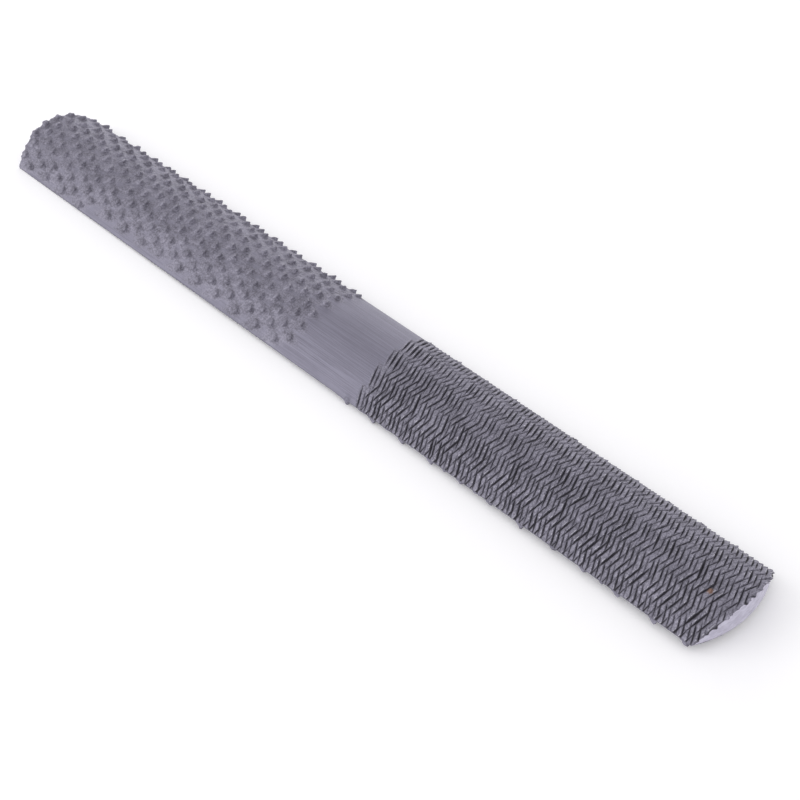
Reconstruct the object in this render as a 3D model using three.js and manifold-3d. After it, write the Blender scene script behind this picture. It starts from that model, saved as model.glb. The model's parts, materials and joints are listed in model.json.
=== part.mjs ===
// A two-ended, two-faced wood rasp: one bar of hardened steel, flat below and half-round above, with no
// handle and no tang. Each end is cut differently on each face: on the crown, rasp teeth at the -X end and
// file cuts at the +X end, and on the flat face the other way round. A plain band for the hand crosses the
// middle. Teeth and cuts are worked out of the bar itself, so the tool is a single solid.
//
// Units are millimetres. X runs along the bar, Y across it, and Z up through the crown. The origin is the
// middle of the footprint, at the level of the tips of the teeth on the flat face.

import * as THREE from "three";
import { mergeVertices } from "three/addons/utils/BufferGeometryUtils.js";
import Module from "manifold-3d";

// The bar.
const LENGTH = 200;
const WIDTH = 25;
const THICKNESS = 6.5; // from the flat face to the top of the crown
const EDGE_LAND = 0.25; // upright strip left where the crown meets the flat face
const END_SAGITTA = 3.1; // how far each end bows out in plan
const CROWN_FACETS = 10;
const END_FACETS = 12;
const TRIM_ALLOWANCE = 1; // spare steel past the ends, taken off when they are shaped

// Rasp teeth: single thorns raised by a pointed punch, with their steep faces towards +X.
const TOOTH_BASE_LENGTH = 2.3;
const TOOTH_BASE_WIDTH = 2.5;
const TOOTH_OVERHANG = 0.1; // how far a tip leans past the foot of its steep face
const TOOTH_ROOT = 0.35; // part of each tooth that is sunk in the bar

const CROWN_TOOTH_HEIGHT = 1.0;
const CROWN_ROW_PITCH = 3.07;
const CROWN_TOOTH_SPACING = 3.55;
const CROWN_FIRST_ROW = -7.7;
const CROWN_FIRST_TOOTH = -10.93; // arc length from the top of the crown, in the first row
const CROWN_TOOTH_SLANT = -0.0176; // drift over the crown, for each mm along X, of a line of teeth
const CROWN_END_MARGIN = 0.7; // the last teeth stand this far inside the end, and follow its bow
const CROWN_ROW_LIMIT = 13.3; // no tooth is further than this from the top of the crown

const FLAT_TOOTH_HEIGHT = 0.95;
const FLAT_EDGE_TOOTH_HEIGHT = 0.55; // the half-formed teeth at the edges of every second row
const FLAT_ROW_PITCH = 3.88;
const FLAT_TOOTH_SPACING = 4.0;
const FLAT_FIRST_ROW = 11.2;
const FLAT_EDGE_TOOTH_INSET = 0.5;
const FLAT_END_MARGIN = 1.2; // bare steel left between the last tips and the end of the bar

// File cuts: grooves struck by a straight chisel, steep on the side that cuts. Only the first set of cuts
// is in the solid, and only every second cut of it; a second set crosses it on the real tool.
const CUT_PITCH = 1.07;
const CUTS_PER_GROOVE = 2;
const CROWN_CUT_DEPTH = 0.38;
const FLAT_CUT_DEPTH = 0.22; // less than the edge land, so that the edges stay whole
const CUT_STEEP_SLOPE = 1.6;
const CUT_BACK_SLOPE = 0.55;
const CUT_LEAN = THREE.MathUtils.degToRad(18);
const CUT_CLEARANCE = 0.4; // how far the cutter stands out of the steel
const CUT_OVERRUN = 2; // how much longer a cutter is than the face that it crosses
const CROWN_COURSES = 5; // strips in which the crown is cut, one flat chisel's width each
const CROWN_CUT_START = 12.5;
const FLAT_CUT_START = -10.5;

// Worked out from the sizes above.
const FLAT_Z = FLAT_TOOTH_HEIGHT;
const CROWN_Z = FLAT_Z + THICKNESS;
const CROWN_RISE = THICKNESS - EDGE_LAND;
const CROWN_RADIUS = (WIDTH ** 2 / 4 + CROWN_RISE ** 2) / (2 * CROWN_RISE);
const CROWN_HALF_ANGLE = Math.asin(WIDTH / 2 / CROWN_RADIUS);
const CROWN_HALF_ARC = CROWN_RADIUS * CROWN_HALF_ANGLE;
const END_RADIUS = (WIDTH ** 2 / 4 + END_SAGITTA ** 2) / (2 * END_SAGITTA);
const END_HALF_ANGLE = Math.asin(WIDTH / 2 / END_RADIUS);
const GROOVE_PITCH = CUT_PITCH * CUTS_PER_GROOVE;
const ARC_FACETS_PER_SEGMENT = 2; // an arc of a shape is drawn with this many facets to a curve segment

const wasm = await Module();
wasm.setup();

// A closed geometry as a solid that can be joined and cut.
function solidOf(geometry) {
  geometry.deleteAttribute("normal");
  geometry.deleteAttribute("uv");
  const merged = mergeVertices(geometry, 1e-4);
  return new wasm.Manifold(
    new wasm.Mesh({
      numProp: 3,
      vertProperties: merged.attributes.position.array,
      triVerts: new Uint32Array(merged.index.array),
    }),
  );
}

// A solid as a flat-shaded geometry.
function geometryOf(solid) {
  const { vertProperties, triVerts } = solid.getMesh();
  const geometry = new THREE.BufferGeometry();
  geometry.setAttribute("position", new THREE.BufferAttribute(vertProperties, 3));
  geometry.setIndex(new THREE.BufferAttribute(triVerts, 1));
  geometry.computeVertexNormals();
  return geometry;
}

const joined = (solids) => solids.reduce((whole, one) => whole.add(one));

// Where the end of the bar lies, at a distance y from its centre line.
function endAt(y) {
  return LENGTH / 2 - END_RADIUS + Math.sqrt(END_RADIUS ** 2 - y ** 2);
}

// The bar's section, with the section's x as the bar's Y and its y as the bar's Z.
function barSection() {
  const section = new THREE.Shape();
  const upright = Math.PI / 2;
  section.moveTo(-WIDTH / 2, FLAT_Z);
  section.lineTo(WIDTH / 2, FLAT_Z);
  section.absarc(
    0,
    CROWN_Z - CROWN_RADIUS,
    CROWN_RADIUS,
    upright - CROWN_HALF_ANGLE,
    upright + CROWN_HALF_ANGLE,
    false,
  );
  section.closePath();
  return section;
}

// The bar seen from above: two straight edges and two bowed ends.
function barOutline() {
  const outline = new THREE.Shape();
  const centre = LENGTH / 2 - END_RADIUS;
  outline.absarc(centre, 0, END_RADIUS, -END_HALF_ANGLE, END_HALF_ANGLE, false);
  outline.absarc(-centre, 0, END_RADIUS, Math.PI - END_HALF_ANGLE, Math.PI + END_HALF_ANGLE, false);
  outline.closePath();
  return outline;
}

// Everything inside the bar's outline between two levels.
function outlineBetween(low, high) {
  const slab = new THREE.ExtrudeGeometry(barOutline(), {
    depth: high - low,
    bevelEnabled: false,
    curveSegments: END_FACETS / ARC_FACETS_PER_SEGMENT,
  });
  slab.translate(0, 0, low);
  return solidOf(slab);
}

// The uncut bar: its section drawn along X, trimmed to its outline.
function barBlank() {
  const drawn = new THREE.ExtrudeGeometry(barSection(), {
    depth: LENGTH + 2 * TRIM_ALLOWANCE,
    bevelEnabled: false,
    curveSegments: CROWN_FACETS / ARC_FACETS_PER_SEGMENT,
  });
  drawn.translate(0, 0, -LENGTH / 2 - TRIM_ALLOWANCE);
  drawn.applyMatrix4(new THREE.Matrix4().makeBasis(
    new THREE.Vector3(0, 1, 0),
    new THREE.Vector3(0, 0, 1),
    new THREE.Vector3(1, 0, 0),
  ));
  return solidOf(drawn).intersect(outlineBetween(FLAT_Z - TRIM_ALLOWANCE, CROWN_Z + TRIM_ALLOWANCE));
}

// Stands a shape made on the XY plane, with Z outwards, on the crown at an arc length u from its top.
function standOnCrown(geometry, x, u) {
  const angle = u / CROWN_RADIUS;
  geometry.rotateX(-angle);
  geometry.translate(
    x,
    CROWN_RADIUS * Math.sin(angle),
    CROWN_Z - CROWN_RADIUS + CROWN_RADIUS * Math.cos(angle),
  );
  return geometry;
}

// Stands the same shape on the flat face, pointing down, with its +X side still towards +X.
function standOnFlat(geometry, x, y) {
  geometry.rotateX(Math.PI);
  geometry.translate(x, y, FLAT_Z);
  return geometry;
}

// One thorn: a three-sided spike with its point drawn forward over its steep face. Its tip is over x = 0.
function toothGeometry(height) {
  const tall = height + TOOTH_ROOT;
  const grown = tall / height; // the sunk root widens the spike's foot in proportion
  const radius = (TOOTH_BASE_LENGTH * grown) / 1.5;
  const tooth = new THREE.ConeGeometry(radius, tall, 3);
  tooth.rotateX(Math.PI / 2);
  tooth.rotateZ(-Math.PI / 2);
  tooth.scale(1, (TOOTH_BASE_WIDTH * grown) / (radius * Math.sqrt(3)), 1);
  tooth.translate(0, 0, tall / 2 - TOOTH_ROOT);
  const lean = (radius / 2 + TOOTH_OVERHANG) / tall;
  tooth.applyMatrix4(new THREE.Matrix4().makeShear(0, 0, 0, 0, lean, 0));
  tooth.translate(-lean * height, 0, 0);
  return tooth;
}

// A groove cutter, centred on its root line: steep towards -X, gentle towards +X, and slanted by its lean
// so that its two ends stay in line with the bar.
function cutterGeometry(span, depth) {
  const profile = new THREE.Shape();
  const rise = depth + CUT_CLEARANCE;
  profile.moveTo(0, -depth);
  profile.lineTo(rise / CUT_BACK_SLOPE, CUT_CLEARANCE);
  profile.lineTo(-rise / CUT_STEEP_SLOPE, CUT_CLEARANCE);
  profile.closePath();
  const cutter = new THREE.ExtrudeGeometry(profile, { depth: span, bevelEnabled: false });
  cutter.translate(0, 0, -span / 2);
  cutter.rotateX(Math.PI / 2);
  cutter.applyMatrix4(new THREE.Matrix4().makeShear(0, 0, -Math.tan(CUT_LEAN), 0, 0, 0));
  return cutter;
}

// The rasp teeth of the crown: rows of thorns, every second row shifted by half a space. A tooth whose
// foot runs past the end of the bar is trimmed with it.
function crownTeeth() {
  const teeth = [];
  for (let x = CROWN_FIRST_ROW, row = 0; x > -LENGTH / 2; x -= CROWN_ROW_PITCH, row += 1) {
    const drift = CROWN_TOOTH_SLANT * (x - CROWN_FIRST_ROW);
    const first = CROWN_FIRST_TOOTH + drift - (row % 2) * (CROWN_TOOTH_SPACING / 2);
    for (let u = first; u <= CROWN_ROW_LIMIT; u += CROWN_TOOTH_SPACING) {
      const last = CROWN_END_MARGIN - endAt(CROWN_RADIUS * Math.sin(u / CROWN_RADIUS));
      if (x < last - CROWN_ROW_PITCH / 2) continue;
      teeth.push(solidOf(standOnCrown(toothGeometry(CROWN_TOOTH_HEIGHT), Math.max(x, last), u)));
    }
  }
  return joined(teeth).intersect(outlineBetween(FLAT_Z, CROWN_Z + 2 * CROWN_TOOTH_HEIGHT));
}

// The rasp teeth of the flat face. A row either ends in full teeth at both edges, or stands half a space
// in and has a half-formed tooth at each edge.
function flatTeeth() {
  const teeth = [];
  const place = (x, y, height) => teeth.push(solidOf(standOnFlat(toothGeometry(height), x, y)));
  const edge = WIDTH / 2 - FLAT_EDGE_TOOTH_INSET;
  for (let row = 0; ; row += 1) {
    const x = FLAT_FIRST_ROW + row * FLAT_ROW_PITCH;
    if (x > endAt(edge) - FLAT_END_MARGIN) break;
    const first = row % 2 ? FLAT_TOOTH_SPACING / 2 : 0;
    for (let y = first; y <= edge; y += FLAT_TOOTH_SPACING) {
      const sides = y === 0 ? [0] : [-y, y];
      sides.forEach((side) => place(x, side, FLAT_TOOTH_HEIGHT));
    }
    if (row % 2) [-edge, edge].forEach((side) => place(x, side, FLAT_EDGE_TOOTH_HEIGHT));
  }
  return joined(teeth).intersect(outlineBetween(-TRIM_ALLOWANCE, FLAT_Z + TOOTH_ROOT));
}

// The file cuts of the crown. A straight chisel can't follow the curve, so the cuts lie in courses side by
// side, deepest along the middle of each course.
function crownCuts() {
  const cuts = [];
  const courseWidth = (2 * CROWN_HALF_ARC) / CROWN_COURSES;
  for (let course = 0; course < CROWN_COURSES; course += 1) {
    const u = (course + 0.5) * courseWidth - CROWN_HALF_ARC;
    for (let x = CROWN_CUT_START; x < LENGTH / 2; x += GROOVE_PITCH) {
      cuts.push(solidOf(standOnCrown(cutterGeometry(courseWidth, CROWN_CUT_DEPTH), x, u)));
    }
  }
  return joined(cuts);
}

// The file cuts of the flat face: each one crosses the whole width in a single stroke.
function flatCuts() {
  const cuts = [];
  const reach = (WIDTH / 2) * Math.tan(CUT_LEAN);
  for (let x = FLAT_CUT_START - reach; x > -LENGTH / 2 - reach; x -= GROOVE_PITCH) {
    cuts.push(solidOf(standOnFlat(cutterGeometry(WIDTH + CUT_OVERRUN, FLAT_CUT_DEPTH), x, 0)));
  }
  return joined(cuts);
}

const steel = new THREE.MeshStandardMaterial({ color: 0x7c7a87, roughness: 0.45, metalness: 0.9 });

const raspBar = new THREE.Mesh(
  geometryOf(barBlank().add(crownTeeth()).add(flatTeeth()).subtract(crownCuts()).subtract(flatCuts())),
  steel,
);
raspBar.name = "rasp_bar";

const rasp = new THREE.Group();
rasp.name = "wood_rasp";
rasp.add(raspBar);

export default rasp;
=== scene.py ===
"""A two-ended, two-faced wood rasp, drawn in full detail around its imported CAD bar.

The tool is one bar of hardened steel, flat below and half-round above. One half of the crown is punched
into rasp teeth and the other half is cut as a double-cut file. The flat face is worked the other way
round, and a plain band for the hand crosses the middle. The bar is built in stretches that abut along it.

Lengths are in millimetres up to the moment a mesh is finished, and in metres from then on.
"""

import json
import logging
import math
from collections.abc import Callable
from dataclasses import dataclass, fields
from enum import Enum
from typing import Any

import bmesh
import bpy
import numpy as np
from mathutils import Matrix, Vector


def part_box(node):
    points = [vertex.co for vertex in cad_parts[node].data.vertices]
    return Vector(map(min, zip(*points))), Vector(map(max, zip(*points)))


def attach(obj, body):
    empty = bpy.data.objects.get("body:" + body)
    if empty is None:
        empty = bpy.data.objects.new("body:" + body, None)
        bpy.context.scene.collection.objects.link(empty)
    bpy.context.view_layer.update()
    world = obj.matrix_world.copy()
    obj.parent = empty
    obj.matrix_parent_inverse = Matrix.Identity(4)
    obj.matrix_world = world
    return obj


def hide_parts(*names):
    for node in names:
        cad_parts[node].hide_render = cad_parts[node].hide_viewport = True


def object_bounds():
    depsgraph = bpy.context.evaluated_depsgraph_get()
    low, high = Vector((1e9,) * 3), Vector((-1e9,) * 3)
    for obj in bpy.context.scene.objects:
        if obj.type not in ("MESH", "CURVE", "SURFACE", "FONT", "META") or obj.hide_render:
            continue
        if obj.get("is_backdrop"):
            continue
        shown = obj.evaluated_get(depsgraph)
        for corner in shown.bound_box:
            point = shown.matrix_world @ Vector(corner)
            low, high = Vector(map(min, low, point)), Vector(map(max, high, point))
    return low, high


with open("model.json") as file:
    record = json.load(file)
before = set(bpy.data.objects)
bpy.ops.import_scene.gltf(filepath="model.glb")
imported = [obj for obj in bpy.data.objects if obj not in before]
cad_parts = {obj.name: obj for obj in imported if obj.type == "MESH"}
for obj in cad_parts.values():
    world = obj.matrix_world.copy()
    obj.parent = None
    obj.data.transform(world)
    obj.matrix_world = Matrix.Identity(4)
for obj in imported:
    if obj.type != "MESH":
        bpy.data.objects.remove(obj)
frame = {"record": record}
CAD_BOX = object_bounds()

log = logging.getLogger("wood_rasp")

MM = 0.001
CAD_NODE = "rasp_bar"

# Places on the flat face: its first row of teeth, which the bar rests on, and the distance between rows.
FLAT_FIRST_ROW = 11.2
FLAT_ROW_PITCH = 3.88

Field = np.ndarray
Colour = tuple[float, float, float, float]


# ---- The bar and its faces ----


class Side(Enum):
    """The two worked faces of the bar, as the outward sign of each."""

    CROWN = 1.0
    FLAT = -1.0


class Lean(Enum):
    """Which way a set of chisel cuts leans: the sign of its drift along the bar as it crosses the face."""

    BACK = -1.0
    FORWARD = 1.0


class Mark(Enum):
    """What each point of a worked face tells its material, by the name of the attribute."""

    # Painted shade in cuts, pits and on the walls.
    PAINTED_SHADE = "hollow"
    # Painted highlight on tooth tips and burrs.
    PAINTED_HIGHLIGHT = "crest"
    WORKED = "worked"


@dataclass(frozen=True)
class Bar:
    """The uncut bar.

    Attributes:
        length: overall length.
        width: overall width.
        flat_level: height of the flat face above the tips of its teeth.
        thickness: from the flat face to the top of the crown.
        edge_land: upright strip between the flat face and the crown.
        end_sagitta: how far each end bows out in plan.
    """

    length: float
    width: float
    flat_level: float
    thickness: float = 6.5
    edge_land: float = 0.25
    end_sagitta: float = 3.1

    SPREAD = 0.55
    SPREAD_BAND = 1.2

    @property
    def radius(self) -> float:
        """The crown's radius."""
        rise = self.thickness - self.edge_land
        return (self.width**2 / 4 + rise**2) / (2 * rise)

    @property
    def half_arc(self) -> float:
        """The distance over the crown from its top to either edge."""
        return self.radius * math.asin(self.width / 2 / self.radius)

    def end_at(self, y: Field) -> Field:
        """The distance of the bowed end from the middle of the bar, at each distance from its centre line."""
        radius = (self.width**2 / 4 + self.end_sagitta**2) / (2 * self.end_sagitta)
        return self.length / 2 - radius + np.sqrt(np.maximum(radius**2 - y**2, 0.0))

    def crown_points(self, x: Field, arc: Field, lift: Field) -> Field:
        """Places points on or over the crown.

        Args:
            x: positions along the bar.
            arc: distances over the crown from its top.
            lift: heights over the uncut crown.

        Returns:
            One row of three coordinates for each point.
        """
        angle = arc / self.radius
        out = self.radius + lift
        centre = self.flat_level + self.thickness - self.radius
        return np.stack([x, out * np.sin(angle), centre + out * np.cos(angle)], axis=-1)

    def flat_points(self, x: Field, y: Field, lift: Field) -> Field:
        """Places points on or under the flat face.

        Args:
            x: positions along the bar.
            y: positions across it.
            lift: heights out of the flat face, downwards.

        Returns:
            One row of three coordinates for each point.
        """
        near_edge = np.clip((np.abs(y) - self.width / 2 + self.SPREAD_BAND) / self.SPREAD_BAND, 0.0, 1.0)
        spread = self.SPREAD * near_edge * np.clip(lift, 0.0, None) * np.sign(y)
        return np.stack([x, y + spread, self.flat_level - lift], axis=-1)


@dataclass
class Relief:
    """How a worked face departs from the plain bar at a set of points.

    Attributes:
        lift: heights out of the face, negative in cuts and pits.
        push: how far the steel is drawn along the bar, towards +X.
        hollow: how deep in a cut or pit each point lies, from 0 to 1, which the material paints as shade.
        crest: how near the tip of a tooth or the top of a burr it lies, from 0 to 1, which the material
            paints as a highlight.
        worked: how far the tool has marked the steel there, from 0 to 1.
    """

    lift: Field
    push: Field
    hollow: Field
    crest: Field
    worked: Field

    @classmethod
    def none(cls, shape: tuple[int, ...]) -> "Relief":
        """Makes the relief of a face that nothing has touched, with fields of a given shape."""
        return cls(*(np.zeros(shape) for _ in fields(cls)))

    def place(self, mask: Field, part: "Relief") -> None:
        """Sets the relief of the masked points."""
        for entry in fields(self):
            getattr(self, entry.name)[mask] = getattr(part, entry.name)


@dataclass(frozen=True)
class Ripple:
    """The slow unevenness of steel that has been struck all over.

    Attributes:
        height: how far the face rises and falls.
        wavelength: the usual distance between rises.
        seed: picks the waves.
    """

    height: float
    wavelength: float
    seed: int

    WAVES = 14

    def at(self, x: Field, across: Field) -> Field:
        """Measures the unevenness.

        Args:
            x: positions along the bar.
            across: positions across the face.

        Returns:
            The height at each point.
        """
        rng = np.random.default_rng(self.seed)
        total = np.zeros_like(x)
        for _ in range(self.WAVES):
            turn = rng.uniform(0.0, math.pi)
            number = 2.0 * math.pi / (self.wavelength * rng.uniform(0.6, 1.7))
            phase = rng.uniform(0.0, 2.0 * math.pi)
            total += np.sin(number * (x * math.cos(turn) + across * math.sin(turn)) + phase)
        return total * self.height / math.sqrt(self.WAVES)


def soft_minimum(a: Field, b: Field, blend: float) -> Field:
    """The lesser of two fields, with the crease between them rounded.

    Args:
        a: one field.
        b: the other.
        blend: the difference over which one gives way to the other.

    Returns:
        The blended field.
    """
    share = np.clip(0.5 + 0.5 * (b - a) / blend, 0.0, 1.0)
    return b + (a - b) * share - blend * share * (1.0 - share)


# ---- File cuts ----


@dataclass(frozen=True)
class Cuts:
    """One set of parallel chisel cuts.

    A straight chisel only bites along the middle of its stroke where the face is round, so on the crown
    the cuts lie in courses, each cut deepest at mid-course and running out to nothing at its two ends.

    Attributes:
        pitch: distance along the bar between cuts.
        lean: which way the cuts lean.
        degrees: how far they lean from square across the bar.
        depth: depth of a cut at mid-course.
        burr: how far the steel is thrown up beside a cut at mid-course.
        start: where the first cut crosses mid-course.
        heading: 1.0 if the cuts follow each other towards +X from the start, and -1.0 towards -X.
        seed: picks the small unevenness of the strokes.
        course: width of a course, or more than the face's own where its cuts run right across.
        middle: where the middle of one course lies across the face.
        radius: how round the face is, which ends each cut, or None for a flat face.
        course_step: how much further along each course starts than the one before it.
        course_bite: how much deeper each course is cut than the one before it, as a share.
        uneven_depth: how far the depths of the cuts vary, as a share.
    """

    pitch: float
    lean: Lean
    degrees: float
    depth: float
    burr: float
    start: float
    heading: float
    seed: int
    course: float = 100.0
    middle: float = 0.0
    radius: float | None = None
    course_step: float = 0.0
    course_bite: float = 0.0
    uneven_depth: float = 0.14

    STEEP = 2.8
    BACK = 0.72
    UNEVEN_PLACE = 0.08
    BURR_SPREAD = 0.30
    NO_WALL = 9.0
    TABLE = (32, 512)

    def walls(self, x: Field, across: Field) -> tuple[Field, Field]:
        """Shapes the set's grooves.

        Args:
            x: positions along the bar.
            across: positions across the face, measured over it.

        Returns:
            The height of the nearest groove wall, and the height of the burr thrown up beside it.
        """
        rng = np.random.default_rng(self.seed)
        place = rng.normal(0.0, self.UNEVEN_PLACE, self.TABLE)
        bite = rng.normal(1.0, self.uneven_depth, self.TABLE)
        wall = np.full_like(x, self.NO_WALL)
        burr = np.zeros_like(x)
        nearest = np.round((across - self.middle) / self.course)
        neighbours = (0,) if self.radius is None else (-1, 0, 1)
        for step in neighbours:
            row = nearest + step
            self._strike(x, across, row, place, bite, wall, burr)
        return wall, burr

    def _strike(
        self, x: Field, across: Field, row: Field, place: Field, bite: Field, wall: Field, burr: Field
    ) -> None:
        """Lowers the walls and raises the burrs by one course of cuts.

        Args:
            x: positions along the bar.
            across: positions across the face.
            row: the course that each point is tested against.
            place: unevenness of where cuts fall, by course and cut.
            bite: unevenness of how deep they go, by course and cut.
            wall: wall heights, changed in place.
            burr: burr heights, changed in place.
        """
        v = across - self.middle - row * self.course
        fall = np.zeros_like(v) if self.radius is None else v**2 / (2.0 * self.radius)
        drift = self.lean.value * math.tan(math.radians(self.degrees)) * v
        along = (x - drift - self.start - row * self.course_step) / self.pitch
        course = (row.astype(int) + self.TABLE[0] // 2) % self.TABLE[0]
        for near in (-1, 0, 1):
            count = np.round(along) + near
            cut = (count.astype(int) * int(self.heading)) % self.TABLE[1]
            offset = (along - count - place[course, cut]) * self.pitch
            deep = self.depth * bite[course, cut] * (1.0 + self.course_bite * row) - fall
            struck = (count * self.heading >= 0) & (deep > 0)
            rise = np.where(offset < 0, -self.STEEP * offset, self.BACK * offset) - deep
            np.minimum(wall, np.where(struck, rise, self.NO_WALL), out=wall)
            crest = offset + deep / self.STEEP
            thrown = self.burr * (deep / self.depth) * np.exp(-((crest / self.BURR_SPREAD) ** 2))
            np.maximum(burr, np.where(struck, thrown, 0.0), out=burr)


@dataclass(frozen=True)
class DoubleCut:
    """A double-cut file face: a first set of cuts, and a second that crosses it and divides it into teeth.

    Attributes:
        first: the set that is struck first.
        second: the set that crosses it.
    """

    first: Cuts
    second: Cuts

    CREASE = 0.025
    UNCUT = 1.0
    DRAG = 0.4
    FULL_SHADE_DEPTH = 0.25
    FULL_GLINT_HEIGHT = 0.15
    GRAIN = Ripple(0.035, 0.7, 31)

    def relief(self, x: Field, across: Field) -> Relief:
        """Shapes the face.

        Args:
            x: positions along the bar.
            across: positions across the face, measured over it.

        Returns:
            The relief at each point.
        """
        wall_1, burr_1 = self.first.walls(x, across)
        wall_2, burr_2 = self.second.walls(x, across)
        crest = np.maximum(burr_1, burr_2)
        wall = soft_minimum(wall_1, wall_2, self.CREASE)
        lift = np.where(wall > self.UNCUT, crest, soft_minimum(wall, crest, self.CREASE))
        worked = np.clip(1.5 - 1.4 * wall, 0.0, 1.0)
        # The cuts' depth is painted as shade and the burrs' height as a highlight.
        return Relief(
            lift=lift + self.GRAIN.at(x, across) * worked,
            push=np.clip(lift, 0.0, None) * self.DRAG,
            hollow=np.clip(-lift / self.FULL_SHADE_DEPTH, 0.0, 1.0),
            crest=np.clip(lift / self.FULL_GLINT_HEIGHT, 0.0, 1.0),
            worked=worked,
        )


# ---- Rasp teeth ----


@dataclass(frozen=True)
class RaspTeeth:
    """Rows of thorns thrown up by a pointed punch, each with the pit that the punch leaves before it.

    Attributes:
        height: height of a thorn.
        row_pitch: distance along the bar between rows.
        spacing: distance between the thorns of a row.
        first_row: where the row nearest the middle of the bar lies.
        first_tooth: where one thorn of that row lies across the face.
        heading: 1.0 if the rows follow each other towards +X, and -1.0 towards -X.
        slant: how far the lines of thorns along the bar drift across it, for each millimetre.
        end: where each point's end of the bar lies, as a function of the distance from the centre line.
        limit: no thorn lies further than this from the middle of the face.
        seed: picks the small unevenness of the thorns.
        edge_height: height of the half-formed thorns at the edges of every second row, or None.
        fade: how much lower the thorns are at the -Y edge, as a share.
    """

    height: float
    row_pitch: float
    spacing: float
    first_row: float
    first_tooth: float
    heading: float
    slant: float
    end: Callable[[Field], Field]
    limit: float
    seed: int
    edge_height: float | None = None
    fade: float = 0.0

    LENGTH = 1.9
    HALF_WIDTH = 1.3
    BOW = 0.7
    FACE_SLOPE = 3.0
    TIP_ROUND = 0.5
    PIT_LENGTH = 1.2
    PIT_HALF_WIDTH = 1.25
    PIT_DEPTH = 0.18
    # How dark the painted shade in a punch pit is.
    PIT_SHADE = 0.45
    OVERHANG = 0.22
    END_MARGIN = 0.7
    PIT_EDGE = 1.5
    MARK_REACH = 2.6
    GRAIN = Ripple(0.055, 1.1, 32)
    DENT_HEIGHT = 0.035
    DENT_WAVELENGTH = 3.2
    TABLE = (64, 32)

    def relief(self, x: Field, across: Field) -> Relief:
        """Shapes the face.

        Args:
            x: positions along the bar.
            across: positions across the face, measured over it.

        Returns:
            The relief at each point.
        """
        rng = np.random.default_rng(self.seed)
        uneven = {
            "tall": np.clip(rng.normal(0.97, 0.12, self.TABLE), 0.7, 1.12),
            "broad": rng.normal(1.0, 0.07, self.TABLE),
            "along": rng.normal(0.0, 0.16, self.TABLE),
            "aside": rng.normal(0.0, 0.17, self.TABLE),
            "turn": rng.normal(0.0, 0.15, self.TABLE),
        }
        total = Relief.none(x.shape)
        nearest = np.round((x - self.first_row) / (self.heading * self.row_pitch))
        for step in (-1, 0, 1):
            row = nearest + step
            place = self.first_row + self.heading * row * self.row_pitch
            shift = np.where(row % 2 == 0, 0.0, self.spacing / 2) - self.slant * (place - self.first_row)
            count = np.round((across - self.first_tooth + shift) / self.spacing)
            tooth = self.first_tooth - shift + count * self.spacing
            last = self.end(tooth) - self.END_MARGIN
            struck = (row >= 0) & (place * self.heading < last + self.row_pitch / 2)
            place = self.heading * np.minimum(place * self.heading, last)
            pick = (row.astype(int) % self.TABLE[0], count.astype(int) % self.TABLE[1])
            own = {name: table[pick] for name, table in uneven.items()}
            own["tall"] = own["tall"] * (1.0 - self.fade * np.clip(-tooth / self.limit, 0.0, 1.0))
            present = struck & (np.abs(tooth) <= self.limit)
            self._raise(x - place, across - tooth, own, present, self.height, total)
            if self.edge_height is not None:
                edge = np.sign(across) * self.limit
                odd = struck & (row % 2 == 1)
                self._raise(x - place, across - edge, own, odd, self.edge_height, total)
        dents = Ripple(self.DENT_HEIGHT, self.DENT_WAVELENGTH, self.seed).at(x, across)
        total.lift += (dents + self.GRAIN.at(x, across)) * total.worked
        return total

    def _raise(
        self, ahead: Field, aside: Field, own: dict[str, Field], present: Field, height: float, total: Relief
    ) -> None:
        """Adds one thorn and its pit to each point's relief.

        Args:
            ahead: how far each point lies before the thorn's tip, towards +X.
            aside: how far it lies to the side of the tip.
            own: the thorn's own unevenness.
            present: whether there is such a thorn.
            height: its height.
            total: the relief, changed in place.
        """
        size = height / self.height
        a = (ahead - own["along"] + own["turn"] * aside) / size
        b = np.abs(aside - own["aside"] - own["turn"] * ahead) / (size * own["broad"])
        a += self.BOW * b**2
        tall = height * own["tall"]
        run = np.clip(1.0 + a / self.LENGTH, 0.0, 1.0)
        width = self.HALF_WIDTH * np.maximum(run, 0.02) ** 0.4
        back = tall * run**1.4 * (1.75 - 0.75 * run) * (1.0 - np.clip(b / width, 0.0, 1.0) ** 1.6) ** 1.4
        face = tall * (1.0 - np.clip(b / self.HALF_WIDTH, 0.0, 1.0) ** 1.6) ** 1.4
        struck_face = face - self.FACE_SLOPE * a * size
        taper = np.clip(1.0 - a / self.PIT_LENGTH, 0.0, 1.0)
        side = np.clip(1.0 - b / (self.PIT_HALF_WIDTH * np.maximum(taper, 0.02)), 0.0, 1.0)
        pit = -self.PIT_DEPTH * size * taper * side**0.8 * np.clip(self.PIT_EDGE - b, 0.0, 1.0)
        floor = np.where(a > 0, pit, 0.0)
        shape = np.where(present, np.maximum(soft_minimum(back, struck_face, self.TIP_ROUND), floor), 0.0)
        total.lift += shape
        stand = np.clip(shape / self.height, 0.0, 1.0)
        total.push += self.OVERHANG * stand**2
        # Painted highlight towards the thorn's tip, and painted shade in its pit.
        total.crest = np.maximum(total.crest, stand**3)
        total.hollow = np.maximum(total.hollow, np.clip(-shape / self.PIT_DEPTH, 0.0, 1.0) * self.PIT_SHADE)
        reach = np.exp(-((a + 0.8) ** 2 + b**2) / self.MARK_REACH**2)
        total.worked = np.maximum(total.worked, np.where(present, np.clip(reach * 2.0 - 0.3, 0.0, 1.0), 0.0))


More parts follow.
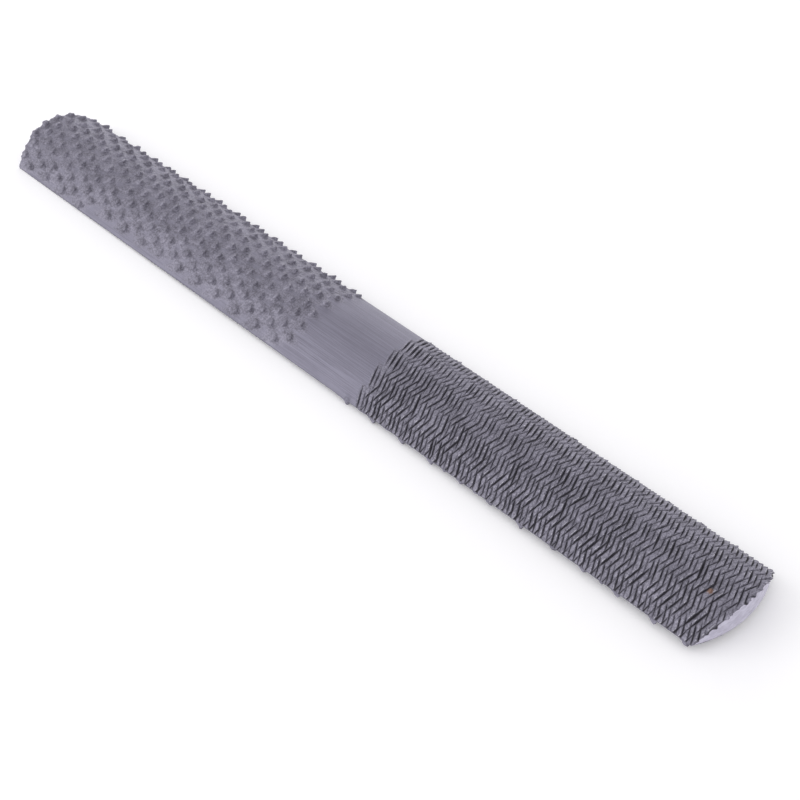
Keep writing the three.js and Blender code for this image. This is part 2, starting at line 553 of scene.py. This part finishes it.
@dataclass(frozen=True)
class Bulges:
    """The small bulges of an edge where the punch struck a thorn too near to it from the other face.

    Attributes:
        first: where the first bulge lies along the bar.
        pitch: distance between bulges.
        height: how far the largest stands out.
        seed: picks how far each one does.
    """

    first: float
    pitch: float
    height: float
    seed: int

    LENGTH = 0.55
    REACH = 0.9
    COUNT = 32

    def lift(self, bar: Bar, x: Field, arc: Field) -> Field:
        """Raises the rim of the crown.

        Args:
            bar: the uncut bar.
            x: positions along the bar.
            arc: distances over the crown from its top.

        Returns:
            The heights to add.
        """
        share = np.random.default_rng(self.seed).uniform(0.45, 1.0, (2, self.COUNT))
        count = np.round((x - self.first) / self.pitch)
        own = share[(arc > 0).astype(int), count.astype(int) % self.COUNT]
        ahead = (x - self.first - count * self.pitch) / self.LENGTH
        inside = (bar.half_arc - np.abs(arc)) / self.REACH
        return self.height * own * np.exp(-(ahead**2) - inside**2) * (count >= 0)


Work = DoubleCut | RaspTeeth


# ---- Shader maths ----


@dataclass(frozen=True)
class Signal:
    """A shader socket that takes part in Python arithmetic.

    Attributes:
        graph: the node tree that it belongs to.
        socket: the output that carries it.
    """

    graph: "Graph"
    socket: Any

    def math(self, operation: str, *values: Any) -> "Signal":
        """Adds a Math node with the given operation and inputs, and returns its result."""
        return self.graph.node("ShaderNodeMath", {"operation": operation}, dict(enumerate(values)))

    def __add__(self, other: Any) -> "Signal":
        """Adds."""
        return self.math("ADD", self, other)

    def __radd__(self, other: Any) -> "Signal":
        """Adds to a number."""
        return self.math("ADD", other, self)

    def __sub__(self, other: Any) -> "Signal":
        """Subtracts."""
        return self.math("SUBTRACT", self, other)

    def __rsub__(self, other: Any) -> "Signal":
        """Subtracts from a number."""
        return self.math("SUBTRACT", other, self)

    def __mul__(self, other: Any) -> "Signal":
        """Multiplies."""
        return self.math("MULTIPLY", self, other)

    def __rmul__(self, other: Any) -> "Signal":
        """Multiplies a number."""
        return self.math("MULTIPLY", other, self)

    def clamped(self) -> "Signal":
        """Keeps the value between 0 and 1."""
        return self.math("MINIMUM", self.math("MAXIMUM", self, 0.0), 1.0)

    def ramp(self, low: float, high: float) -> "Signal":
        """Runs from 0 to 1, smoothly, as the value goes from low to high.

        Args:
            low: the value that gives 0.
            high: the value that gives 1.

        Returns:
            The smoothed share.
        """
        return self.graph.node(
            "ShaderNodeMapRange",
            {"interpolation_type": "SMOOTHSTEP"},
            {"Value": self, "From Min": low, "From Max": high},
        )


class Graph:
    """The node tree of one material or world."""

    def __init__(self, owner: bpy.types.Material | bpy.types.World) -> None:
        """Empties the owner's tree.

        Args:
            owner: what the nodes dress.
        """
        owner.use_nodes = True
        self.owner = owner
        self.tree = owner.node_tree
        self.tree.nodes.clear()

    def node(self, kind: str, settings: dict[str, Any], inputs: dict[Any, Any], output: Any = 0) -> Signal:
        """Adds any node.

        Args:
            kind: the node's type.
            settings: its properties, which are set first.
            inputs: values or signals, by socket name or number.
            output: the name or number of the output that is wanted.

        Returns:
            That output.
        """
        made = self.tree.nodes.new(kind)
        for name, value in settings.items():
            setattr(made, name, value)
        for name, value in inputs.items():
            if isinstance(value, Signal):
                self.tree.links.new(value.socket, made.inputs[name])
            else:
                made.inputs[name].default_value = value
        return Signal(self, made.outputs[output] if len(made.outputs) else None)

    def position(self, stretch: tuple[float, float, float]) -> Signal:
        """The place on the object, in metres, scaled along each axis."""
        place = self.node("ShaderNodeTexCoord", {}, {}, "Object")
        return self.node("ShaderNodeMapping", {}, {"Vector": place, "Scale": stretch})

    def mark(self, mark: Mark) -> Signal:
        """The value at each point of one of the marks that a worked face carries."""
        return self.node("ShaderNodeAttribute", {"attribute_name": mark.value}, {}, "Fac")

    def noise(self, stretch: tuple[float, float, float], detail: float, roughness: float = 0.55) -> Signal:
        """A cloudy pattern, from 0 to 1.

        Args:
            stretch: how many clouds fit in a metre along each axis.
            detail: the number of finer layers.
            roughness: how strong the finer layers are.

        Returns:
            The pattern.
        """
        return self.node(
            "ShaderNodeTexNoise",
            {},
            {"Vector": self.position(stretch), "Scale": 1.0, "Detail": detail, "Roughness": roughness},
            "Fac",
        )

    def blend(self, share: Signal, low: Any, high: Any) -> Signal:
        """Mixes two colours, from the first where the share is 0 to the second where it is 1."""
        # The node has sockets of the same names for every kind of data, so its colours go by number.
        return self.node("ShaderNodeMix", {"data_type": "RGBA"}, {"Factor": share, 6: low, 7: high}, 2)

    def bump(self, height: Signal, distance: float, strength: float) -> Signal:
        """Turns a height into a shading normal.

        Args:
            height: the height, from 0 to 1.
            distance: how many metres a height of 1 stands for.
            strength: how much of it shows.

        Returns:
            The normal.
        """
        return self.node(
            "ShaderNodeBump", {}, {"Height": height, "Distance": distance, "Strength": strength}, "Normal"
        )

    def surface(self, inputs: dict[str, Any]) -> bpy.types.Material:
        """Ends the tree in a principled shader.

        Args:
            inputs: the shader's values and signals.

        Returns:
            The finished material.
        """
        shader = self.node("ShaderNodeBsdfPrincipled", {}, inputs, "BSDF")
        self.node("ShaderNodeOutputMaterial", {}, {"Surface": shader})
        return self.owner


@dataclass(frozen=True)
class Freckle:
    """A spot of rust.

    Attributes:
        place: where it is, in metres.
        radius: how far it spreads, in metres.
    """

    place: tuple[float, float, float]
    radius: float


@dataclass(frozen=True)
class WorkedSteel:
    """Hardened steel: brushed where it is plain, dull where it is struck, painted with shade in its cuts and
    pits and with a highlight on its tips and burrs.

    Attributes:
        brushed: the colour of the plain steel.
        line: the colour in the brushing lines.
        struck: the colour of the faces of teeth.
        patch: the colour of the darker patches among them.
        root: the painted shade colour deep in the cuts and pits.
        point: the colour of the painted highlight on tooth tips and burrs.
        rust: the colour of rust.
        freckles: the spots of rust.
        lines: how many brushing lines fit in a metre across the bar.
    """

    freckles: tuple[Freckle, ...]
    brushed: Colour = (0.246, 0.238, 0.296, 1.0)
    line: Colour = (0.196, 0.189, 0.236, 1.0)
    struck: Colour = (0.305, 0.294, 0.356, 1.0)
    patch: Colour = (0.140, 0.134, 0.164, 1.0)
    # Painted shade colour.
    root: Colour = (0.032, 0.030, 0.038, 1.0)
    # Painted highlight colour.
    point: Colour = (0.46, 0.45, 0.50, 1.0)
    rust: Colour = (0.30, 0.17, 0.11, 1.0)
    lines: float = 5200.0

    def material(self, name: str) -> bpy.types.Material:
        """Makes the material.

        Args:
            name: its name.

        Returns:
            The material.
        """
        graph = Graph(bpy.data.materials.new(name))
        hollow = graph.mark(Mark.PAINTED_SHADE)
        crest = graph.mark(Mark.PAINTED_HIGHLIGHT)
        worked = graph.mark(Mark.WORKED)
        brushing = graph.noise((70.0, self.lines, self.lines), 3.0, 0.65)
        clouds = graph.noise((240.0, 300.0, 300.0), 4.0, 0.6)
        grain = graph.noise((2800.0, 2800.0, 2800.0), 4.0, 0.7)
        plain = graph.blend(brushing.ramp(0.36, 0.64), self.line, self.brushed)
        speckle = clouds.ramp(0.38, 0.62) * 0.35 + grain.ramp(0.4, 0.6) * 0.65
        struck = graph.blend(speckle, self.patch, self.struck)
        face = graph.blend(worked, plain, struck)
        # Painted shade: cuts, pits and the walls' lip strips blend towards the root colour.
        deep = (hollow + (grain - 0.5) * 0.6 * worked).ramp(0.2, 0.95)
        # Painted highlight: tooth tips and burrs blend towards the point colour and turn glossier.
        painted_glint = (crest + (grain - 0.5) * 1.5).ramp(0.72, 1.15)
        colour = graph.blend(deep, graph.blend(painted_glint, face, self.point), self.root)
        for freckle in self.freckles:
            colour = graph.blend(self._rust(graph, grain, freckle), colour, self.rust)
        height = brushing * (1.0 - worked) + (grain * 0.9 + clouds * 0.9) * worked
        return graph.surface(
            {
                "Base Color": colour,
                "Metallic": 0.72 - deep * 0.4,
                "Roughness": (0.46 + clouds * 0.12 + deep * 0.25 - painted_glint * 0.16).clamped(),
                "Normal": graph.bump(height, 0.00013, 0.9),
            }
        )

    def _rust(self, graph: Graph, grain: Signal, freckle: Freckle) -> Signal:
        """Marks one freckle of rust.

        Args:
            graph: the material's tree.
            grain: the pattern that frays its edge.
            freckle: where it is.

        Returns:
            How rusty each point is.
        """
        place = graph.node("ShaderNodeTexCoord", {}, {}, "Object")
        away = graph.node(
            "ShaderNodeVectorMath", {"operation": "DISTANCE"}, {0: place, 1: freckle.place}, "Value"
        )
        return (away * (1.0 / freckle.radius) + (grain - 0.5) * 1.5).ramp(1.0, 0.4) * 0.75


@dataclass(frozen=True)
class BareSteel:
    """Steel cut through and dressed with a stone, brighter than the worked faces.

    Attributes:
        tone: its colour.
        stain: the colour of its duller patches.
    """

    tone: Colour = (0.62, 0.60, 0.70, 1.0)
    stain: Colour = (0.47, 0.45, 0.54, 1.0)

    def material(self, name: str) -> bpy.types.Material:
        """Makes the material.

        Args:
            name: its name.

        Returns:
            The material.
        """
        graph = Graph(bpy.data.materials.new(name))
        clouds = graph.noise((420.0, 420.0, 900.0), 4.0, 0.6)
        scratches = graph.noise((900.0, 900.0, 7000.0), 3.0, 0.7)
        colour = graph.blend((clouds * 0.6 + scratches * 0.4).ramp(0.38, 0.6), self.stain, self.tone)
        return graph.surface(
            {
                "Base Color": colour,
                "Metallic": 0.8,
                "Roughness": 0.38 + scratches * 0.2,
                "Normal": graph.bump(scratches, 0.00004, 0.5),
            }
        )


@dataclass(frozen=True)
class PaleFloor:
    """A plain pale studio floor.

    Attributes:
        tone: its colour.
        glow: how strongly it is lit from below, as a light table is.
    """

    tone: Colour = (0.93, 0.93, 0.93, 1.0)
    glow: float = 0.12

    def material(self, name: str) -> bpy.types.Material:
        """Makes the material.

        Args:
            name: its name.

        Returns:
            The material.
        """
        return Graph(bpy.data.materials.new(name)).surface(
            {
                "Base Color": self.tone,
                "Roughness": 0.85,
                "Emission Color": self.tone,
                "Emission Strength": self.glow,
            }
        )


# ---- The stretches of the bar ----


@dataclass(frozen=True)
class Worked:
    """One worked length of one face.

    Attributes:
        start: the end of it nearer to -X.
        stop: the end of it nearer to +X.
        work: what is cut there.
    """

    start: float
    stop: float
    work: Work


@dataclass
class Stretch:
    """One closed piece of the bar, from one place along it to another.

    Attributes:
        name: the piece's name.
        start: its end nearer to -X, or None for the bowed end of the bar.
        stop: its end nearer to +X, or None for the bowed end of the bar.
        rows: how many rows of faces lie along it.
        columns: how many lie across each face.
    """

    name: str
    start: float | None
    stop: float | None
    rows: int
    columns: int

    LIP = 0.45
    # How dark the painted shade on the walls is, where they take the worked steel.
    LIP_SHADE = 0.45
    CHAMFER = 0.2
    END_BURR = 0.5
    USUAL_BURR = 0.45
    RAGGED = Ripple(0.55, 1.3, 41)
    AT_END = 0.9999
    WALL_LEVEL = 0.5
    FACING = 0.5
    SHARP = 0.5
    THIN_EDGE = 0.7
    THIN_SHARE = 0.3

    def cage(self) -> bpy.types.Mesh:
        """Makes the piece as a flat slab, which holds the layout of its faces.

        X and Y run from -1 to 1 over each face, and Z is 1 on the crown and -1 on the flat face. The walls
        between the two have two more rows of points, which keep them flat below the teeth.

        Returns:
            The slab, closed all round, with creases along its rims.
        """
        bm = bmesh.new()
        made = bmesh.ops.create_grid(bm, x_segments=self.rows, y_segments=self.columns, size=1.0)
        bmesh.ops.translate(bm, vec=(0.0, 0.0, Side.CROWN.value), verts=made["verts"])
        sheet = list(bm.faces)
        raised = bmesh.ops.extrude_face_region(bm, geom=sheet, use_keep_orig=True)
        moved = [part for part in raised["geom"] if isinstance(part, bmesh.types.BMVert)]
        bmesh.ops.translate(bm, vec=(0.0, 0.0, 2.0 * Side.FLAT.value), verts=moved)
        walls = [edge for edge in bm.edges if edge.verts[0].co.z * edge.verts[1].co.z < 0]
        bmesh.ops.subdivide_edges(bm, edges=walls, cuts=2)
        bmesh.ops.recalc_face_normals(bm, faces=bm.faces)
        for face in bm.faces:
            worked = abs(face.normal.z) > self.FACING
            # The lip strip under the crown's rim and the long side walls take the worked steel, so its
            # painted shade darkens them.
            lip = face.calc_center_median().z > self.WALL_LEVEL or abs(face.normal.y) > self.FACING
            face.smooth = worked
            face.material_index = 0 if worked or lip else 1
        for edge in bm.edges:
            edge.smooth = edge.calc_face_angle(0.0) < self.SHARP
        mesh = bpy.data.meshes.new(self.name)
        bm.to_mesh(mesh)
        bm.free()
        return mesh

    def shaped(self, bar: Bar, crown: list[Worked], flat: list[Worked], bulges: Bulges) -> bpy.types.Object:
        """Moves the slab's points on to the worked bar.

        Args:
            bar: the uncut bar.
            crown: the worked lengths of the crown.
            flat: the worked lengths of the flat face.
            bulges: the bulges of the crown's rim.

        Returns:
            The piece, in metres, at the origin.
        """
        mesh = self.cage()
        listed = np.empty(len(mesh.vertices) * 3, np.float32)
        mesh.vertices.foreach_get("co", listed)
        cage = listed.reshape(-1, 3).astype(float)
        arc = cage[:, 1] * bar.half_arc
        y = bar.radius * np.sin(arc / bar.radius)
        low = -bar.end_at(y) if self.start is None else np.full_like(y, self.start)
        high = bar.end_at(y) if self.stop is None else np.full_like(y, self.stop)
        x = low + (cage[:, 0] + 1.0) / 2.0 * (high - low)
        points = np.empty_like(cage)
        relief = Relief.none(x.shape)
        for side, works, across, place in (
            (Side.CROWN, crown, arc, bar.crown_points),
            (Side.FLAT, flat, y, bar.flat_points),
        ):
            mask = cage[:, 2] * side.value > self.WALL_LEVEL
            shape = self._worked(x[mask], across[mask], works)
            shape.lift = self._kept_edge(bar, y[mask], shape.lift)
            if side is Side.CROWN:
                shape.lift += bulges.lift(bar, x[mask], across[mask])
            shape.push += self._end_push(side, cage[mask, 0], across[mask], shape)
            points[mask] = place(x[mask] + shape.push, across[mask], shape.lift)
            relief.place(mask, shape)
        wall = np.abs(cage[:, 2]) < self.WALL_LEVEL
        points[wall] = self._wall_points(bar, x[wall], arc[wall], y[wall], cage[wall, 2])
        # Painted shade over the walls.
        relief.hollow[wall] = self.LIP_SHADE
        mesh.vertices.foreach_set("co", (points * MM).astype(np.float32).ravel())
        for mark in Mark:
            layer = mesh.attributes.new(mark.value, "FLOAT", "POINT")
            layer.data.foreach_set("value", getattr(relief, mark.value).astype(np.float32))
        mesh.update()
        return self._settled(mesh)

    def _worked(self, x: Field, across: Field, works: list[Worked]) -> Relief:
        """Gathers the relief of every worked length that the points lie in.

        Args:
            x: positions along the bar.
            across: positions across the face.
            works: the face's worked lengths.

        Returns:
            The relief at each point.
        """
        total = Relief.none(x.shape)
        for length in works:
            inside = (x >= length.start) & (x <= length.stop)
            if inside.any():
                total.place(inside, length.work.relief(x[inside], across[inside]))
        return total

    def _end_push(self, side: Side, along: Field, across: Field, shape: Relief) -> Field:
        """Throws burrs over the end of the crown, and chamfers the end of the flat face.

        Args:
            side: which face.
            along: positions along the piece, from -1 to 1.
            across: positions across the face.
            shape: the relief of the face.

        Returns:
            How far each point moves along the bar.
        """
        at_start = along < -self.AT_END if self.start is None else np.zeros(along.shape, bool)
        at_stop = along > self.AT_END if self.stop is None else np.zeros(along.shape, bool)
        outward = at_stop.astype(float) - at_start.astype(float)
        if side is Side.FLAT:
            return -self.CHAMFER * outward
        ragged = np.clip(self.USUAL_BURR + self.RAGGED.at(across, np.zeros_like(across)), 0.0, 1.0)
        return self.END_BURR * outward * ragged * shape.worked

    def _wall_points(self, bar: Bar, x: Field, arc: Field, y: Field, level: Field) -> Field:
        """Places the points of the walls, between the crown and the flat face.

        Args:
            bar: the uncut bar.
            x: positions along the bar.
            arc: distances over the crown.
            y: positions across the bar.
            level: which row of points each is in, above or below zero.

        Returns:
            One row of three coordinates for each point.
        """
        still = np.zeros_like(x)
        top = bar.crown_points(x, arc, still)
        foot = bar.flat_points(x, y, still)
        tall = top[:, 2] - foot[:, 2]
        step = np.where(level > 0, np.minimum(self.LIP, tall / 3), tall - np.minimum(self.CHAMFER, tall / 3))
        top[:, 2] -= step
        return top

    def _kept_edge(self, bar: Bar, y: Field, lift: Field) -> Field:
        """Makes the cuts shallower at the thin edges of the bar, and leaves what stands up alone."""
        share = np.clip((bar.width / 2 - np.abs(y)) / self.THIN_EDGE, self.THIN_SHARE, 1.0)
        return np.where(lift < 0, lift * share, lift)

    def _settled(self, mesh: bpy.types.Mesh) -> bpy.types.Object:
        """Turns the faces outwards and puts the piece in the scene.

        Args:
            mesh: the shaped mesh.

        Returns:
            The piece.
        """
        bm = bmesh.new()
        bm.from_mesh(mesh)
        bmesh.ops.recalc_face_normals(bm, faces=bm.faces)
        bm.to_mesh(mesh)
        bm.free()
        piece = bpy.data.objects.new(self.name, mesh)
        bpy.context.collection.objects.link(piece)
        return piece


@dataclass
class RaspBar:
    """The whole tool: one bar, worked on both faces, built as stretches that abut.

    Attributes:
        bar: the uncut bar.
        band_start: where the plain band starts on the crown.
        band_stop: where it stops.
        flat_band_start: where the plain band starts on the flat face.
        flat_band_stop: where it stops.
        speck: where the freckle of rust lies, along the bar and over the crown.
        speck_radius: how far the freckle spreads, in metres.
        coarse: how many faces lie across a stretch whose crown is rasp-cut or plain.
        fine: how many lie across one whose crown is file-cut.
    """

    bar: Bar
    band_start: float = -5.5
    band_stop: float = 10.5
    flat_band_start: float = -8.0
    flat_band_stop: float = 7.5
    speck: tuple[float, float] = (93.9, -4.6)
    speck_radius: float = 0.0008
    coarse: int = 128
    fine: int = 160

    def crown_works(self) -> list[Worked]:
        """The crown: rasp teeth towards -X and a double-cut file towards +X.

        Returns:
            Its worked lengths.
        """
        half = self.bar.length / 2
        teeth = RaspTeeth(
            height=1.0,
            row_pitch=3.07,
            spacing=3.55,
            first_row=-7.7,
            first_tooth=-10.93,
            heading=-1.0,
            slant=-0.0176,
            end=self.bar.end_at,
            limit=13.3,
            seed=4,
            fade=0.3,
        )
        first = Cuts(
            pitch=1.075,
            lean=Lean.BACK,
            degrees=18.5,
            depth=0.30,
            burr=0.18,
            start=12.9,
            heading=1.0,
            seed=11,
            course=5.45,
            middle=-7.35,
            radius=self.bar.radius,
            course_step=-0.5,
            course_bite=0.03,
        )
        second = Cuts(
            pitch=1.34,
            lean=Lean.FORWARD,
            degrees=16.0,
            depth=0.29,
            burr=0.18,
            start=15.4,
            heading=1.0,
            seed=12,
            course=5.45,
            middle=-4.65,
            radius=self.bar.radius,
            course_step=0.3,
            course_bite=-0.14,
            uneven_depth=0.12,
        )
        return [
            Worked(-half, self.band_start, teeth),
            Worked(self.band_stop, half, DoubleCut(first, second)),
        ]

    def flat_works(self) -> list[Worked]:
        """The flat face: a double-cut file towards -X and rasp teeth towards +X.

        Returns:
            Its worked lengths.
        """
        half = self.bar.length / 2
        teeth = RaspTeeth(
            height=0.95,
            row_pitch=FLAT_ROW_PITCH,
            spacing=4.0,
            first_row=FLAT_FIRST_ROW,
            first_tooth=0.0,
            heading=1.0,
            slant=0.0,
            end=self.bar.end_at,
            limit=12.0,
            seed=5,
            edge_height=0.5,
        )
        first = Cuts(
            pitch=1.07,
            lean=Lean.FORWARD,
            degrees=18.5,
            depth=0.24,
            burr=0.08,
            start=-14.0,
            heading=-1.0,
            seed=21,
        )
        second = Cuts(
            pitch=1.34,
            lean=Lean.BACK,
            degrees=24.0,
            depth=0.20,
            burr=0.06,
            start=-17.0,
            heading=-1.0,
            seed=22,
        )
        return [
            Worked(-half, self.flat_band_start, DoubleCut(first, second)),
            Worked(self.flat_band_stop, half, teeth),
        ]

    def stretches(self) -> list[Stretch]:
        """How the bar is divided along its length.

        Returns:
            The stretches, from -X to +X.
        """
        return [
            Stretch("rasp_half_outer", None, -52.0, 370, self.coarse),
            Stretch("rasp_half_inner", -52.0, self.band_start, 370, self.coarse),
            Stretch("plain_band", self.band_start, self.band_stop, 120, self.coarse),
            Stretch("file_half_first", self.band_stop, 33.0, 300, self.fine),
            Stretch("file_half_second", 33.0, 55.0, 300, self.fine),
            Stretch("file_half_third", 55.0, 77.0, 300, self.fine),
            Stretch("file_half_fourth", 77.0, None, 300, self.fine),
        ]

    def build(self) -> list[bpy.types.Object]:
        """Makes every stretch and dresses it.

        Returns:
            The pieces.
        """
        crown = self.crown_works()
        flat = self.flat_works()
        bulges = Bulges(first=FLAT_FIRST_ROW, pitch=2 * FLAT_ROW_PITCH, height=0.42, seed=9)
        along, arc = self.speck
        place = self.bar.crown_points(np.array([along]), np.array([arc]), np.zeros(1))[0] * MM
        worked = WorkedSteel((Freckle(tuple(place), self.speck_radius),)).material("worked_steel")
        bare = BareSteel().material("bare_steel")
        pieces = []
        for stretch in self.stretches():
            piece = stretch.shaped(self.bar, crown, flat, bulges)
            piece.data.materials.append(worked)
            piece.data.materials.append(bare)
            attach(piece, "root")
            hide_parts(CAD_NODE)
            log.info("%s: %d faces", stretch.name, len(piece.data.polygons))
            pieces.append(piece)
        return pieces


# ---- The studio ----


@dataclass(frozen=True)
class Lamp:
    """One soft box.

    Attributes:
        name: its name.
        azimuth: where it stands, in degrees from -Y towards +X.
        elevation: how high, in degrees.
        distance: how far away, in metres.
        size: the length of its side, in metres.
        watts: its power.
    """

    name: str
    azimuth: float
    elevation: float
    distance: float
    size: float
    watts: float


def towards(azimuth: float, elevation: float) -> Vector:
    """The direction of a place round the object.

    Args:
        azimuth: degrees from -Y towards +X.
        elevation: degrees above the floor.

    Returns:
        The unit vector from the object to that place.
    """
    a, e = math.radians(azimuth), math.radians(elevation)
    return Vector((math.sin(a) * math.cos(e), -math.cos(a) * math.cos(e), math.sin(e)))


@dataclass
class Studio:
    """The floor, the light and the camera.

    Attributes:
        bar: the uncut bar, which the floor lies under.
        azimuth: the camera's azimuth, in degrees from -Y towards +X.
        elevation: its elevation, in degrees.
        roll: how far it is turned about its own axis, in degrees.
        distance: how far it stands from its target.
        target: the point that it looks at, measured from the flat face.
        lens: its focal length.
        sensor: its sensor's width.
        zenith: how bright the studio is overhead.
        horizon: how bright it is at the level of the floor.
        tint: the colour of its light.
    """

    bar: Bar
    azimuth: float = 40.94
    elevation: float = 42.52
    roll: float = 4.466
    distance: float = 328.4
    target: tuple[float, float, float] = (18.19, -4.40, 0.0)
    lens: float = 73.56
    sensor: float = 36.0
    zenith: float = 0.80
    horizon: float = 1.25
    tint: Colour = (0.98, 0.97, 1.0, 1.0)

    def lay_floor(self) -> bpy.types.Object:
        """Lays the floor that the bar rests on, by its first row of teeth and the edge of its far end.

        Returns:
            The floor.
        """
        bm = bmesh.new()
        bmesh.ops.create_grid(bm, x_segments=4, y_segments=4, size=3.0)
        rock = math.atan(self.bar.flat_level / (self.bar.length / 2 + FLAT_FIRST_ROW))
        hinge = Matrix.Translation(Vector((FLAT_FIRST_ROW * MM, 0.0, 0.0)))
        turn = Matrix.Rotation(rock, 4, "Y")
        bmesh.ops.transform(bm, matrix=hinge @ turn @ hinge.inverted(), verts=bm.verts)
        mesh = bpy.data.meshes.new("floor")
        bm.to_mesh(mesh)
        bm.free()
        mesh.materials.append(PaleFloor().material("pale_floor"))
        floor = bpy.data.objects.new("floor", mesh)
        bpy.context.collection.objects.link(floor)
        floor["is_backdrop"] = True
        return floor

    def light(self) -> None:
        """Hangs the soft boxes and lights the room."""
        lamps = [
            Lamp("soft_box_left", -38.0, 30.0, 1.3, 1.1, 5.0),
            Lamp("soft_box_behind", -139.0, 14.0, 1.3, 0.8, 1.9),
        ]
        for lamp in lamps:
            data = bpy.data.lights.new(lamp.name, "AREA")
            data.shape = "SQUARE"
            data.size = lamp.size
            data.energy = lamp.watts
            holder = bpy.data.objects.new(lamp.name, data)
            direction = towards(lamp.azimuth, lamp.elevation)
            holder.location = direction * lamp.distance
            holder.rotation_euler = direction.to_track_quat("Z", "Y").to_euler()
            bpy.context.collection.objects.link(holder)
        graph = Graph(bpy.data.worlds.new("studio"))
        direction = graph.node("ShaderNodeTexCoord", {}, {}, "Generated")
        height = graph.node("ShaderNodeSeparateXYZ", {}, {"Vector": direction}, "Z")
        strength = self.zenith + height.ramp(0.75, 0.05) * (self.horizon - self.zenith)
        light = graph.node("ShaderNodeBackground", {}, {"Color": self.tint, "Strength": strength})
        graph.node("ShaderNodeOutputWorld", {}, {"Surface": light})
        bpy.context.scene.world = graph.owner
        bpy.context.scene.view_settings.view_transform = "Standard"

    def place_camera(self) -> None:
        """Sets up the camera."""
        data = bpy.data.cameras.new("camera")
        data.lens = self.lens
        data.sensor_width = self.sensor
        data.clip_start = 0.01
        camera = bpy.data.objects.new("camera", data)
        back = towards(self.azimuth, self.elevation)
        right = (-back).cross(Vector((0.0, 0.0, 1.0))).normalized()
        up = right.cross(-back)
        roll = math.radians(self.roll)
        across = right * math.cos(roll) + up * math.sin(roll)
        upward = up * math.cos(roll) - right * math.sin(roll)
        aim = Vector(self.target) + Vector((0.0, 0.0, self.bar.flat_level))
        frame_axes = Matrix((across, upward, back)).transposed().to_4x4()
        camera.matrix_world = Matrix.Translation((aim + back * self.distance) * MM) @ frame_axes
        bpy.context.collection.objects.link(camera)
        bpy.context.scene.camera = camera

    def build(self) -> None:
        """Sets up the whole studio."""
        self.place_camera()
        self.lay_floor()
        self.light()


def bar_from_frame() -> Bar:
    """Reads the bar's size from the CAD frame.

    Returns:
        The uncut bar.
    """
    low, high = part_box(CAD_NODE)
    mounts = {mount["name"]: mount for mount in frame["record"]["mounts"]}
    return Bar(
        length=(high[0] - low[0]) / MM,
        width=(high[1] - low[1]) / MM,
        flat_level=mounts["flat_rest"]["pos_m"][2] / MM,
    )


def note_sizes() -> None:
    """Gathers the CAD box and the visual model's box beside each other."""
    sizes = {"cad": CAD_BOX, "visual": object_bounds()}
    plain = {name: [list(corner) for corner in box] for name, box in sizes.items()}


def main() -> None:
    """Builds the studio and the rasp."""
    logging.basicConfig(level=logging.INFO, format="%(name)s: %(message)s")
    bar = bar_from_frame()
    Studio(bar).build()
    RaspBar(bar).build()
    note_sizes()


if __name__ == "__main__":
    main()
